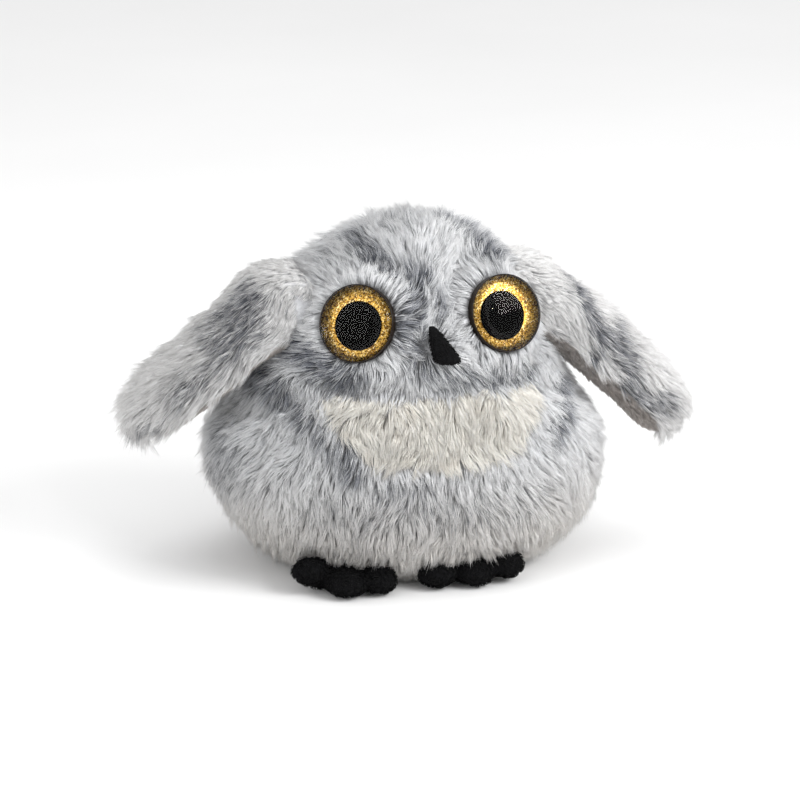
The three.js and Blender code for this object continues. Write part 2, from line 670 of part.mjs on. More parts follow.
const FINISHES = {
  fur: () => finish(0xb4b7bd, 0.95),
  cream: () => finish(0xe6dccb, 0.95),
  felt: () => finish(0x17181a, 0.95),
  fibre: () => finish(0xf0f0ee, 1),
  clear: () => finish(0xf4f6f8, 0.05),
  gold: () => finish(0xb98f2f, 0.35, 0.6),
  black: () => finish(0x0c0c0e, 0.3),
  casing: () => finish(0xd9dadb, 0.45),
  dark: () => finish(0x2c2e31, 0.5),
  nylon: () => finish(0xefe9da, 0.4),
  steel: () => finish(0xb9bcc0, 0.3, 0.9),
  board: () => finish(0x1f6b3c, 0.5),
  cell: () => finish(0x3c5a86, 0.35, 0.4),
};

function buildOwl() {
  const owl = new THREE.Group();
  const put = (name, shape, look) => {
    const mesh = new THREE.Mesh(asGeometry(shape), FINISHES[look]());
    mesh.name = name;
    owl.add(mesh);
  };
  const putAll = (pieces, look) => Object.entries(pieces).forEach(
    ([name, shape]) => put(name, shape, look));

  const places = { left: eyePlace(-1), right: eyePlace(1) };
  const eyeHoles = Object.values(places).map(eyeHole);
  const washerHoles = Object.values(places).map(washerHole);
  put('body_skin', bodySkin(eyeHoles, washerHoles), 'fur');
  put('body_stuffing', bodyStuffing(eyeHoles, washerHoles), 'fibre');
  put('belly_patch', bellyPatch(), 'cream');
  put('beak', beak(), 'felt');
  put('foot_left', foot(-24 + FEET_SHIFT), 'felt');
  put('foot_right', foot(24 + FEET_SHIFT), 'felt');

  const eyeLooks = { lens: 'clear', pupil: 'black', iris: 'gold', cup: 'black', washer: 'nylon' };
  for (const [side, place] of Object.entries(places)) {
    for (const [piece, shape] of Object.entries(eyeParts(place))) {
      put(`eye_${piece}_${side}`, shape, eyeLooks[piece]);
    }
  }

  const wing = { skin: wingSkin(), stuffing: wingStuffing(), frame: wingFrame(0) };
  const wingLooks = { skin: 'fur', stuffing: 'fibre', frame: 'nylon' };
  for (const [piece, shape] of Object.entries(wing)) {
    put(`wing_${piece}_left`, mirrored(shape), wingLooks[piece]);
    put(`wing_${piece}_right`, shape, wingLooks[piece]);
  }

  put('case_front', caseFront(), 'casing');
  put('case_rear', caseRear(), 'casing');
  putAll(caseScrews(), 'steel');
  putAll(gearTrain(), 'nylon');
  putAll(shafts(), 'steel');
  const { motor, motor_shaft: motorShaft } = motorParts();
  put('motor', motor, 'steel');
  put('motor_shaft', motorShaft, 'steel');
  put('head_button', headButton(), 'dark');
  put('button_spring', buttonSpring(), 'steel');
  putAll(electronics(), 'board');

  put('battery_box', batteryBox(), 'casing');
  put('battery_door', batteryDoor(), 'casing');
  putAll(batteries(), 'cell');
  put('battery_contact_front', batteryContact(WELL.y0 + 1.9, WELL.y0 + 2.3), 'steel');
  put('battery_contact_rear', batteryContact(WELL.y1 - 2.3, WELL.y1 - 1.9), 'steel');
  putAll(powerSwitch(), 'dark');
  return owl;
}

export default buildOwl();
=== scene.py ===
"""Interactive plush owl: the fur, cloth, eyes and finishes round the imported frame.

Metres, +Z up. The face looks along -Y and +X is the viewer's right.
"""
import json
import math

import bmesh
import bpy
import numpy as np
from mathutils import Matrix, Vector, kdtree, noise


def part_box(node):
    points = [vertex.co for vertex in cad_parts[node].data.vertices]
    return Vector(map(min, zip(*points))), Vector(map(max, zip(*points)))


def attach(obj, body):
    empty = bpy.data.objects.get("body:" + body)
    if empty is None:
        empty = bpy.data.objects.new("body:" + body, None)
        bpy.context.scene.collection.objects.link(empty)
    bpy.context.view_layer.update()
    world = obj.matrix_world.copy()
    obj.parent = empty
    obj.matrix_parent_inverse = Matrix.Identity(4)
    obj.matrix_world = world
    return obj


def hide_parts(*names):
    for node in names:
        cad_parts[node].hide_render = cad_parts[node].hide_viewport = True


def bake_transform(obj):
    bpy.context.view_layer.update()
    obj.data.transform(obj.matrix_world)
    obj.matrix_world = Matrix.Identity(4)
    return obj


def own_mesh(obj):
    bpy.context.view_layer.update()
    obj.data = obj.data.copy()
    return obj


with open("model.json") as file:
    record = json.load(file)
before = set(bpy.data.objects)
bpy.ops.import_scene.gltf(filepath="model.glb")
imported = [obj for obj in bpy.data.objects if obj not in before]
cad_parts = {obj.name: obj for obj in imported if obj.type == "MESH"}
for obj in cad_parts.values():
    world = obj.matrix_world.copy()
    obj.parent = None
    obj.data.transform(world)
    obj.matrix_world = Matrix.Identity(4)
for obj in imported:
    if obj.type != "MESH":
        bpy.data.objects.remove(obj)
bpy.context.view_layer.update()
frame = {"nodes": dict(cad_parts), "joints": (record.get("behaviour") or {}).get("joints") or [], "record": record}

MM = 0.001
UP = np.array([0.0, 0.0, 1.0])
SEED = 7

# ---- sizes --------------------------------------------------------------------------------
SIGN = {"left": -1, "right": 1}
HALF_WIDTH, HALF_DEPTH, HEIGHT = np.array(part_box("body_skin")[1])
BODY_POWER = 2.3
# share of the height, of the half width and of the half depth, from the floor to the crown
BODY_PROFILE = [
    (0.0, 0.605, 0.656), (0.03, 0.75, 0.78), (0.082, 0.862, 0.883), (0.157, 0.954, 0.961),
    (0.246, 1.0, 1.0), (0.336, 1.0, 0.985), (0.41, 0.96, 0.962), (0.485, 0.882, 0.935),
    (0.567, 0.785, 0.895), (0.649, 0.72, 0.85), (0.731, 0.69, 0.787), (0.799, 0.635, 0.71),
    (0.851, 0.552, 0.63), (0.896, 0.468, 0.547), (0.94, 0.375, 0.445), (0.978, 0.237, 0.281),
    (1.0, 0.02, 0.02),
]
PILE = 5.5 * MM                # how far the fur stands off the cloth
LOCK_LENGTH = 9.5 * MM
SHORT_LENGTH = 3.5 * MM        # the fur under the wings
STRAND_RADIUS = 0.13 * MM
STRAND_POINTS = 3
FUR_PER_MM2 = 4.2
LOCK_STRANDS = 12
CROWN_LEAN = 3.5 * MM          # towards the viewer's right
FOLD_DEPTH = 2.6 * MM
CHEEK_SWELL = 1.5 * MM
EYE_SOCKET_DEPTH = 2.0 * MM    # how far behind an eye's disc the cloth passes
# the stuffed wings are not quite alike: degrees of lift at root and tip, length and thickness
WING_LIFT = {"left": (-3.0, 4.5), "right": (-1.5, 0.0)}
WING_REACH = {"left": 0.94, "right": 1.06}
WING_FILL = {"left": 0.94, "right": 1.06}
FLOOR_CLEAR = 0.4 * MM


def joint(name):
    return next(j for j in frame["joints"] if j["name"] == name)


WING_AXIS = np.array(joint("wing_right_flap")["pos_m"])
# the shoulder of a wing, where the body's cloth grows no fur, from the right wing's axis
SHOULDER_RADIUS = 11 * MM
SHOULDER_HALF_DEPTH = 22 * MM
# centre line of the right wing from its axis: x and z steps, half thickness, half depth
WING_SECTIONS = np.array([
    (-8, 1, 13, 25), (2, 0, 15, 27), (8.7, -3, 14.5, 28), (18.3, -9.3, 14, 28),
    (29.6, -19.3, 13.4, 28), (42.3, -31.8, 13, 27), (50.6, -42, 12.2, 23),
    (54.6, -49, 10, 16), (57.4, -54, 4.5, 7.5),
]) * MM


# ---- meshes -------------------------------------------------------------------------------
def new_object(name, mesh):
    piece = bpy.data.objects.new(name, mesh)
    bpy.context.scene.collection.objects.link(piece)
    return piece


def mesh_from(name, vertices, faces):
    mesh = bpy.data.meshes.new(name)
    mesh.from_pydata([tuple(v) for v in vertices], [], [tuple(f) for f in faces])
    mesh.update()
    mesh.shade_smooth()
    return mesh


def closed_rings(rings):
    """Vertices and faces of a tube through equal rings, with a fan on each end."""
    count, sides = len(rings), len(rings[0])
    vertices = [point for ring in rings for point in ring]
    faces = []
    for ring in range(count - 1):
        for side in range(sides):
            a = ring * sides + side
            b = ring * sides + (side + 1) % sides
            faces.append((a, b, b + sides, a + sides))
    for ring, flip in ((0, True), (count - 1, False)):
        hub = len(vertices)
        vertices.append(np.mean(rings[ring], axis=0))
        for side in range(sides):
            edge = (ring * sides + side, ring * sides + (side + 1) % sides)
            faces.append((hub, *(edge[::-1] if flip else edge)))
    return np.array(vertices), faces


def smooth_table(table, steps):
    """Rows of a table blended by a Catmull-Rom curve through them."""
    table = np.asarray(table, float)
    padded = np.vstack([2 * table[0] - table[1], table, 2 * table[-1] - table[-2]])
    places = np.linspace(0, len(table) - 1, steps)
    index = np.minimum(places.astype(int), len(table) - 2)
    t = (places - index)[:, None]
    p0, p1, p2, p3 = (padded[index + k] for k in range(4))
    return 0.5 * (
        2 * p1 + (p2 - p0) * t + (2 * p0 - 5 * p1 + 4 * p2 - p3) * t**2
        + (3 * p1 - p0 - 3 * p2 + p3) * t**3)


def superellipse(sides, power):
    angle = np.linspace(0, 2 * np.pi, sides, endpoint=False)
    c, s = np.cos(angle), np.sin(angle)
    x = np.sign(c) * np.abs(c) ** (2 / power)
    y = np.sign(s) * np.abs(s) ** (2 / power)
    return x, y


def vertex_normals(mesh):
    normals = np.empty(len(mesh.vertices) * 3)
    mesh.vertices.foreach_get("normal", normals)
    return normals.reshape(-1, 3)


def vertex_places(mesh):
    places = np.empty(len(mesh.vertices) * 3)
    mesh.vertices.foreach_get("co", places)
    return places.reshape(-1, 3)


def set_places(mesh, places):
    mesh.vertices.foreach_set("co", np.ascontiguousarray(places).ravel())
    mesh.update()


def smoothstep(low, high, value):
    t = np.clip((value - low) / (high - low), 0, 1)
    return t * t * (3 - 2 * t)


def unit(vectors):
    return vectors / np.maximum(np.linalg.norm(vectors, axis=-1, keepdims=True), 1e-9)


def noise_at(points, size, offset=0.0):
    """Smooth noise from -1 to 1 at each point, for blotches of the given size."""
    shift = Vector((offset, offset * 1.7, offset * 0.6))
    return np.array([noise.noise(Vector(p) / size + shift) for p in points])


# ---- eyes' seats --------------------------------------------------------------------------
class EyeSeat:
    """Where an eye sits: its centre on the glitter disc, the way it faces and its radius."""

    def __init__(self, side, shift, turn, pupil_shift):
        disc = vertex_places(frame["nodes"][f"eye_iris_{side}"].data)
        self.side = side
        spread = disc - disc.mean(axis=0)
        axis = np.linalg.svd(spread, full_matrices=False)[2][2]
        facing = Vector(axis if axis[1] < 0 else -axis)
        self.facing = np.array(Matrix.Rotation(math.radians(turn), 3, "Z") @ facing)
        self.centre = disc.mean(axis=0) + np.array(shift) * MM - self.facing * 1.2 * MM
        self.radius = np.linalg.norm(spread, axis=1).max() + 0.3 * MM
        self.pupil_shift = Vector((*pupil_shift, 0)) * MM

    def matrix(self, shift=Vector((0, 0, 0))):
        """Turns the eye's own frame, +X across and +Y up the face, to where it sits."""
        facing = Vector(self.facing)
        across = Vector((0, 0, 1)).cross(facing).normalized()
        turn = Matrix((across, facing.cross(across), facing)).transposed()
        return Matrix.Translation(Vector(self.centre) + turn @ shift) @ turn.to_4x4()

    def split(self, points):
        """Each point's height along the eye and its offset from the eye's axis."""
        away = points - self.centre
        height = away @ self.facing
        return height, away - height[..., None] * self.facing


EYES = [
    EyeSeat("left", (2.4, 0.6, -1.8), -8, (0.7, -0.8)),
    EyeSeat("right", (2.6, -1.0, -0.6), -9, (-1.5, -0.7)),
]


# ---- plush forms --------------------------------------------------------------------------
def crease_height(x):
    """The fold between the head and the belly, lower towards the arm pits."""
    share = np.clip(np.abs(x) / HALF_WIDTH, 0, 1)
    return (0.585 - 0.11 * smoothstep(0.5, 0.95, share)) * HEIGHT


def body_cloth():
    """The cloth that the body's fur grows from, a pile's height inside the fur."""
    rows = smooth_table(BODY_PROFILE, 84)
    x, y = superellipse(112, BODY_POWER)
    rings = [
        np.stack([x * w * HALF_WIDTH, y * d * HALF_DEPTH, np.full_like(x, h * HEIGHT)], axis=1)
        for h, w, d in rows]
    base = [rings[0] * (share, share, 1) for share in np.linspace(0.04, 0.96, 24)]
    mesh = mesh_from("body_cloth", *closed_rings(base + rings))
    places = vertex_places(mesh)
    inset = np.full(len(places), PILE)
    fold = np.exp(-((places[:, 2] - crease_height(places[:, 0])) / (5 * MM)) ** 2)
    front = smoothstep(0.2, -0.5, places[:, 1] / HALF_DEPTH)
    cheeks = np.exp(-((places[:, 2] - 0.66 * HEIGHT) / (9 * MM)) ** 2)
    inset += (FOLD_DEPTH * fold - CHEEK_SWELL * cheeks) * front
    flank = np.abs(places[:, 0]) / HALF_WIDTH
    inset -= 0.5 * MM * smoothstep(0.6, 0.95, flank)
    inset += 1.5 * MM * smoothstep(0.85, 0.97, places[:, 2] / HEIGHT)
    places -= vertex_normals(mesh) * inset[:, None]
    places[:, 2] = np.maximum(places[:, 2], 2.5 * MM)
    places[:, 2] += base_recess(places)
    places[:, 0] *= left_trim(places)
    places[:, 0] += CROWN_LEAN * smoothstep(0.78, 0.93, places[:, 2] / HEIGHT)
    for eye in EYES:
        height, off = eye.split(places)
        near = smoothstep(eye.radius * 1.45, eye.radius * 0.8, np.linalg.norm(off, axis=1))
        near[height < -20 * MM] = 0
        seat = height + EYE_SOCKET_DEPTH
        places -= (near * np.maximum(seat, -6 * MM))[:, None] * eye.facing
    set_places(mesh, places)
    return new_object("body_cloth", mesh)


def under_battery_box(points, margin):
    """Points at the base within a margin round the battery box."""
    low, high = (np.array(corner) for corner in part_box("battery_box"))
    flat = points[:, :2]
    inside = np.all((flat > low[:2] - margin) & (flat < high[:2] + margin), axis=1)
    return inside & (points[:, 2] < high[2] + 5 * MM)


def base_recess(places):
    """How far the cloth goes up to pass over the battery box."""
    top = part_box("battery_box")[1][2] + 2 * MM
    return np.where(under_battery_box(places, 1.0 * MM), top - places[:, 2], 0.0)


def left_trim(places):
    """The body's left half is stuffed a little less full, most at the crown and the base."""
    share = places[:, 2] / HEIGHT
    trim = 0.025 + 0.14 * smoothstep(0.72, 0.9, share) + 0.05 * smoothstep(0.3, 0.12, share)
    return np.where(places[:, 0] < 0, 1 - trim, 1.0)


def wing_cloth(side):
    """A wing's cloth: a flipper along its centre line, thinner at the rim."""
    sign = SIGN[side]
    rows = smooth_table(WING_SECTIONS, 46)
    outer = smoothstep(0, 30 * MM, rows[:, :1])
    rows[:, :2] *= 1 + (WING_REACH[side] - 1) * outer
    rows[:, 2:3] *= 1 + (WING_FILL[side] - 1) * outer
    across, deep = superellipse(64, BODY_POWER)
    along = unit(np.gradient(rows[:, :2], axis=0))
    rings = []
    for (x, z, thickness, depth), (ax, az) in zip(rows, along):
        flat = across * thickness
        rings.append(np.stack([
            sign * (WING_AXIS[0] + x - az * flat), deep * depth, WING_AXIS[2] + z + ax * flat,
        ], axis=1))
    vertices, faces = closed_rings(rings)
    if sign > 0:
        faces = [face[::-1] for face in faces]
    mesh = mesh_from(f"wing_cloth_{side}", vertices, faces)
    places = vertex_places(mesh)
    normals = vertex_normals(mesh)
    under = under_wing(normals, sign)
    inset = 2.6 * MM * under + PILE * 0.8 * (1 - under)
    inset *= 0.2 + 0.8 * beyond_root(places)
    places -= normals * inset[:, None]
    set_places(mesh, lifted(places, side))
    return new_object(f"wing_cloth_{side}", mesh)


def lifted(places, side):
    """The wing bent about its axis, by its lift at the root and at the tip."""
    sign = SIGN[side]
    away = places - WING_AXIS * (sign, 1, 1)
    reach = np.hypot(away[:, 0], away[:, 2])
    root, tip = np.radians(WING_LIFT[side])
    turn = root + (tip - root) * smoothstep(15 * MM, 80 * MM, reach)
    turned_x = away[:, 0] * np.cos(turn) - sign * away[:, 2] * np.sin(turn)
    turned_z = away[:, 2] * np.cos(turn) + sign * away[:, 0] * np.sin(turn)
    bent = np.stack([turned_x, away[:, 1], turned_z], axis=1)
    return bent + WING_AXIS * (sign, 1, 1)


def beyond_root(places):
    """0 at a wing's root, where its pile is short, and 1 further out."""
    across = np.abs(places[..., 0]) - WING_AXIS[0]
    return smoothstep(12 * MM, 27 * MM, np.hypot(across, places[..., 2] - WING_AXIS[2]))


def under_wing(normals, sign):
    """1 on the short-haired side of a wing that faces the body and the floor."""
    inward = np.array([-0.66 * sign, 0.0, -0.75])
    return smoothstep(0.45, 0.75, normals @ inward)


# ---- fur ----------------------------------------------------------------------------------
def scatter(piece, per_mm2, rng, weight=None):
    """Random roots on a mesh, evenly by area: places and smooth normals."""
    mesh = piece.data
    mesh.calc_loop_triangles()
    triangles = np.empty(len(mesh.loop_triangles) * 3, np.int32)
    mesh.loop_triangles.foreach_get("vertices", triangles)
    triangles = triangles.reshape(-1, 3)
    places, normals = vertex_places(mesh), vertex_normals(mesh)
    a, b, c = (places[triangles[:, k]] for k in range(3))
    area = np.linalg.norm(np.cross(b - a, c - a), axis=1) / 2
    if weight is not None:
        area = area * weight((a + b + c) / 3)
    count = int(area.sum() / MM**2 * per_mm2)
    chosen = rng.choice(len(area), count, p=area / area.sum())
    r1, r2 = np.sqrt(rng.random(count)), rng.random(count)
    shares = np.stack([1 - r1, r1 * (1 - r2), r1 * r2], axis=1)[:, :, None]
    corners = triangles[chosen]
    roots = (places[corners] * shares).sum(axis=1)
    return roots, unit((normals[corners] * shares).sum(axis=1))


def combed_paths(roots, normals, comb, length, lift):
    """Paths that leave the cloth steeply and lie down along the comb direction."""
    flat = unit(comb - (comb * normals).sum(axis=1)[:, None] * normals)
    paths = [roots]
    steps = STRAND_POINTS - 1
    for step in range(steps):
        share = (step + 0.5) / steps
        angle = np.radians(lift[:, None]) * (1 - share) + np.radians(8) * share
        heading = normals * np.sin(angle) + flat * np.cos(angle)
        paths.append(paths[-1] + heading * (length / steps)[:, None])
    return np.stack(paths, axis=1)


def clumped(paths, spacing, strength, rng):
    """Tips drawn together into locks round randomly chosen strands."""
    count = max(int(len(paths) / spacing), 1)
    leaders = rng.choice(len(paths), count, replace=False)
    tree = kdtree.KDTree(count)
    for place, leader in enumerate(leaders):
        tree.insert(Vector(paths[leader, 0]), place)
    tree.balance()
    nearest = np.array([tree.find(Vector(root))[1] for root in paths[:, 0]])
    target = paths[leaders[nearest]]
    share = np.linspace(0, 1, paths.shape[1])[None, :, None] ** 1.3
    return paths + (target - paths) * share * strength[:, None, None], nearest


def strand_mesh(name, paths, colours, radius):
    """One closed three-sided tapering strand along each path, with its colours and a bake cell."""
    count, points = paths.shape[:2]
    tangent = np.gradient(paths, axis=1)
    side = unit(np.cross(tangent, UP + 0.01))
    other = unit(np.cross(tangent, side))
    taper = 1 - 0.6 * np.linspace(0, 1, points)[:-1]
    rings = []
    for corner in range(3):
        turn = 2 * math.pi * corner / 3
        offset = side * math.cos(turn) + other * math.sin(turn)
        rings.append(paths[:, :-1] + offset[:, :-1] * (taper[None, :, None] * radius[:, None, None]))
    body = np.stack(rings, axis=2).reshape(count, -1, 3)
    vertices = np.concatenate([body, paths[:, -1:]], axis=1)
    vertices[..., 2] = np.maximum(vertices[..., 2], FLOOR_CLEAR)
    size = vertices.shape[1]
    faces = []
    for ring in range(points - 2):
        for corner in range(3):
            a, b = ring * 3 + corner, ring * 3 + (corner + 1) % 3
            faces += [(a, b, b + 3), (a, b + 3, a + 3)]
    last = (points - 2) * 3
    faces += [(last + corner, last + (corner + 1) % 3, size - 1) for corner in range(3)]
    faces.append((2, 1, 0))
    pattern = np.array(faces)
    corners = (pattern[None] + (np.arange(count) * size)[:, None, None]).reshape(-1)
    mesh = bpy.data.meshes.new(name)
    mesh.vertices.add(count * size)
    mesh.vertices.foreach_set("co", vertices.ravel())
    mesh.loops.add(len(corners))
    mesh.loops.foreach_set("vertex_index", corners)
    total = count * len(pattern)
    mesh.polygons.add(total)
    mesh.polygons.foreach_set("loop_start", np.arange(total) * 3)
    mesh.update(calc_edges=True)
    mesh.shade_smooth()
    paint_strands(mesh, colours, count, size, points)
    map_strands(mesh, pattern, count, points)
    return mesh


def paint_strands(mesh, colours, count, size, points):
    painted = np.ones((count, size, 4), np.float32)
    painted[:, :-1, :3] = np.repeat(colours[:, :points - 1], 3, axis=1)
    painted[:, -1, :3] = colours[:, -1]
    layer = mesh.color_attributes.new("pile", "FLOAT_COLOR", "POINT")
    layer.data.foreach_set("color", painted.ravel())


def map_strands(mesh, pattern, count, points):
    """A bake cell for each strand: across the strand in u, root to tip in v."""
    across = np.append(np.tile([0.2, 0.5, 0.8], points - 1), 0.5)
    along = np.append(np.repeat(np.arange(points - 1) / (points - 1), 3), 1.0) * 0.8 + 0.1
    cells = math.ceil(math.sqrt(count))
    number = np.arange(count)
    corner = np.stack([number % cells, number // cells], axis=1)[:, None, :]
    local = np.stack([across, along], axis=1)[pattern.reshape(-1)]
    layer = mesh.uv_layers.new(name="OFBake")
    layer.uv.foreach_set("vector", ((corner + local[None]) / cells).astype(np.float32).ravel())


def shade_strands(root, middle, tip):
    """Colour along each strand from dark root to pale tip."""
    share = np.linspace(0, 1, STRAND_POINTS)[None, :, None]
    low = smoothstep(0.0, 0.5, share)
    high = smoothstep(0.5, 1.0, share)
    return (root[:, None] * (1 - low) + middle[:, None] * low) * (1 - high) + tip[:, None] * high


# ---- materials ----------------------------------------------------------------------------
def material(name):
    made = bpy.data.materials.new(name)
    made.use_nodes = True
    shader = made.node_tree.nodes["Principled BSDF"]
    return made, made.node_tree, shader


def link(tree, source, target):
    tree.links.new(source, target)


def fur_material(name, sheen=0.35, specular=0.25):
    """Each strand in the colours that it carries."""
    made, tree, shader = material(name)
    pile = tree.nodes.new("ShaderNodeAttribute")
    pile.attribute_name = "pile"
    link(tree, pile.outputs["Color"], shader.inputs["Base Color"])
    shader.inputs["Roughness"].default_value = 0.62
    shader.inputs["Sheen Weight"].default_value = sheen
    shader.inputs["Sheen Roughness"].default_value = 0.5
    shader.inputs["Specular IOR Level"].default_value = specular
    return made


def mottled_material(name, dark, pale, size, roughness, bump=0.2, metallic=0.0, sheen=0.0,
                     specular=0.5):
    """Noise between two colours, with the same noise as fine bump."""
    made, tree, shader = material(name)
    place = tree.nodes.new("ShaderNodeTexCoord")
    grain = tree.nodes.new("ShaderNodeTexNoise")
    grain.inputs["Scale"].default_value = 1 / size
    grain.inputs["Detail"].default_value = 6
    ramp = tree.nodes.new("ShaderNodeValToRGB")
    ramp.color_ramp.elements[0].position = 0.3
    ramp.color_ramp.elements[1].position = 0.7
    ramp.color_ramp.elements[0].color = (*dark, 1)
    ramp.color_ramp.elements[1].color = (*pale, 1)
    rough = tree.nodes.new("ShaderNodeBump")
    rough.inputs["Strength"].default_value = bump
    rough.inputs["Distance"].default_value = size / 2
    link(tree, place.outputs["Object"], grain.inputs["Vector"])
    link(tree, grain.outputs["Fac"], ramp.inputs["Fac"])
    link(tree, ramp.outputs["Color"], shader.inputs["Base Color"])
    link(tree, grain.outputs["Fac"], rough.inputs["Height"])
    link(tree, rough.outputs["Normal"], shader.inputs["Normal"])
    shader.inputs["Roughness"].default_value = roughness
    shader.inputs["Metallic"].default_value = metallic
    shader.inputs["Sheen Weight"].default_value = sheen
    shader.inputs["Specular IOR Level"].default_value = specular
    return made


def glitter_material():
    """Flakes of gold and brown, each tilted its own way."""
    made, tree, shader = material("gold_glitter")
    place = tree.nodes.new("ShaderNodeTexCoord")
    flakes = tree.nodes.new("ShaderNodeTexVoronoi")
    flakes.inputs["Scale"].default_value = 1 / (0.42 * MM)
    ramp = tree.nodes.new("ShaderNodeValToRGB")
    stops = [(0.0, (0.05, 0.02, 0.004)), (0.3, (0.20, 0.09, 0.012)),
             (0.6, (0.48, 0.26, 0.035)), (0.85, (0.80, 0.50, 0.10)), (1.0, (1.0, 0.85, 0.45))]
    ramp.color_ramp.elements.remove(ramp.color_ramp.elements[1])
    for stop, colour in stops[1:]:
        ramp.color_ramp.elements.new(stop).color = (*colour, 1)
    ramp.color_ramp.elements[0].color = (*stops[0][1], 1)
    split = tree.nodes.new("ShaderNodeSeparateColor")
    tilt = tree.nodes.new("ShaderNodeBump")
    tilt.inputs["Strength"].default_value = 0.5
    tilt.inputs["Distance"].default_value = 0.3 * MM
    link(tree, place.outputs["Object"], flakes.inputs["Vector"])
    link(tree, flakes.outputs["Color"], split.inputs["Color"])
    link(tree, split.outputs["Red"], ramp.inputs["Fac"])
    link(tree, split.outputs["Green"], tilt.inputs["Height"])
    link(tree, tilt.outputs["Normal"], shader.inputs["Normal"])
    link(tree, ramp.outputs["Color"], shader.inputs["Base Color"])
    shader.inputs["Metallic"].default_value = 0.85
    shader.inputs["Roughness"].default_value = 0.32
    return made


def lens_material():
    """Clear plastic that mirrors the lamps without bending the view of the eye."""
    made, _, shader = material("clear_lens")
    shader.inputs["Base Color"].default_value = (1, 1, 1, 1)
    shader.inputs["Roughness"].default_value = 0.0
    shader.inputs["Transmission Weight"].default_value = 1.0
    shader.inputs["IOR"].default_value = 1.03
    shader.inputs["Coat Weight"].default_value = 0.22
    shader.inputs["Coat Roughness"].default_value = 0.02
    shader.inputs["Coat IOR"].default_value = 1.4
    return made


def plain_gloss(name, colour, roughness, coat=0.5):
    made, _, shader = material(name)
    shader.inputs["Base Color"].default_value = (*colour, 1)
    shader.inputs["Roughness"].default_value = roughness
    shader.inputs["Coat Weight"].default_value = coat
    shader.inputs["Specular IOR Level"].default_value = coat
    return made


# ---- body fur -----------------------------------------------------------------------------
ROOT = np.array([0.46, 0.465, 0.48])
MIDDLE = np.array([0.76, 0.77, 0.785])
TIP = np.array([0.94, 0.94, 0.945])
DARK_ROOT = np.array([0.03, 0.033, 0.042])
DARK_MIDDLE = np.array([0.075, 0.083, 0.105])
DARK_TIP = np.array([0.42, 0.435, 0.475])
UNDER_WING = np.array([0.42, 0.375, 0.345])
# painted warm light reflected from the floor, used most towards the base
FLOOR_BOUNCE_TINT = np.array([1.03, 0.975, 0.91])          # a tint towards the base
CREAM_ROOT = np.array([0.76, 0.71, 0.63])
CREAM_MIDDLE = np.array([0.90, 0.87, 0.81])
CREAM_TIP = np.array([0.92, 0.885, 0.82])
CREAM_STREAK = np.array([0.83, 0.75, 0.64])
FACE_CENTRE = np.array([0.0, -0.86 * HALF_DEPTH, 0.70 * HEIGHT])
PATCH = {"middle": 2.5 * MM, "half_width": 39 * MM, "top": 74.5 * MM, "bottom": 50.5 * MM}
# dark mottles on the front, and one stroke of painted shade on the left flank under the wing: reach and strength,
# then x and z along each stroke, in millimetres
BODY_MOTTLES_AND_FLANK_SHADE = [
    (5.0, 0.9, [(-4, 134), (1, 130)]), (3.0, 0.7, [(1, 130), (-5, 126)]),
    (5.5, 1.0, [(-16, 122), (-15, 118), (-11, 115)]), (4.5, 0.8, [(-31, 117), (-25, 118)]),
    (6.5, 1.0, [(-2, 110), (-6, 104), (-10, 99), (-8, 94)]), (4.5, 0.8, [(6, 103), (3, 98)]),
    (3.2, 1.0, [(14, 127), (26, 118), (32, 114)]), (7.0, 1.0, [(-43, 88), (-35, 84), (-27, 82)]),
    (5.0, 0.7, [(-4, 88), (3, 82), (14, 83), (38, 79)]), (5.0, 0.8, [(-45, 70), (-40, 65), (-35, 59)]),
    (5.5, 1.0, [(-60, 72), (-52, 76), (-47, 70)]), (5.0, 0.9, [(-33, 57), (-28, 50)]),
    (5.0, 0.9, [(55, 70), (50, 62), (46, 57)]), (4.0, 0.8, [(-53, 82), (-47, 77)]),
    (4.0, 0.6, [(-20, 44), (-4, 45)]), (4.0, 0.5, [(40, 40), (36, 33)]),
    (4.0, 0.35, [(62, 84), (58, 80)]), (4.0, 0.5, [(-22, 36), (-30, 28)]),
    # the first stroke below is painted shade on the left flank, under the wing
    (14.0, 0.6, [(-70, 66), (-70, 44)]), (10.0, 0.4, [(-40, 36), (30, 34)]),
]
LEFT_WING_MOTTLES = [
    (6.5, 0.85, [(-57, 106), (-62, 97), (-68, 89)]), (4.0, 0.6, [(-55, 96), (-58, 92)]),
    (4.5, 0.6, [(-70, 83), (-81, 76), (-86, 71)]), (3.5, 0.6, [(-101, 58), (-92, 62)]),
]
RIGHT_WING_MOTTLES = [
    (3.0, 1.0, [(62, 104), (65, 95), (69, 87), (66, 78)]),
    (5.5, 0.9, [(74, 86), (77, 78), (80, 68), (88, 61), (95, 57)]),
    (3.5, 0.6, [(60, 110), (58, 104)]),
]


def in_patch(points):
    """Whether each point on the front belongs to the cream belly patch."""
    t = np.clip((PATCH["top"] - points[:, 2]) / (PATCH["top"] - PATCH["bottom"]), 0, 1)
    rim = PATCH["half_width"] * (1 - 0.22 * t) * np.sqrt(1 - t**6)
    across = np.abs(points[:, 0] - PATCH["middle"])
    return (t > 0) & (t < 1) & (across < rim) & (points[:, 1] < 0)


def mottle_at(points, strokes):
    """How strongly the listed dark strokes, mottles and painted shade alike, colour each point on the front, from
    0 to 1.
    """
    dark = np.zeros(len(points))
    flat = points[:, [0, 2]] / MM
    front = smoothstep(0.15, -0.1, points[:, 1] / HALF_DEPTH)
    for reach, strength, line in strokes:
        for start, end in zip(line, line[1:]):
            start, span = np.array(start), np.subtract(end, start)
            t = np.clip((flat - start) @ span / (span @ span), 0, 1)
            away = np.linalg.norm(flat - start - t[:, None] * span, axis=1)
            dark = np.maximum(dark, strength * smoothstep(reach * 1.35, reach * 0.2, away) * front)
    return dark


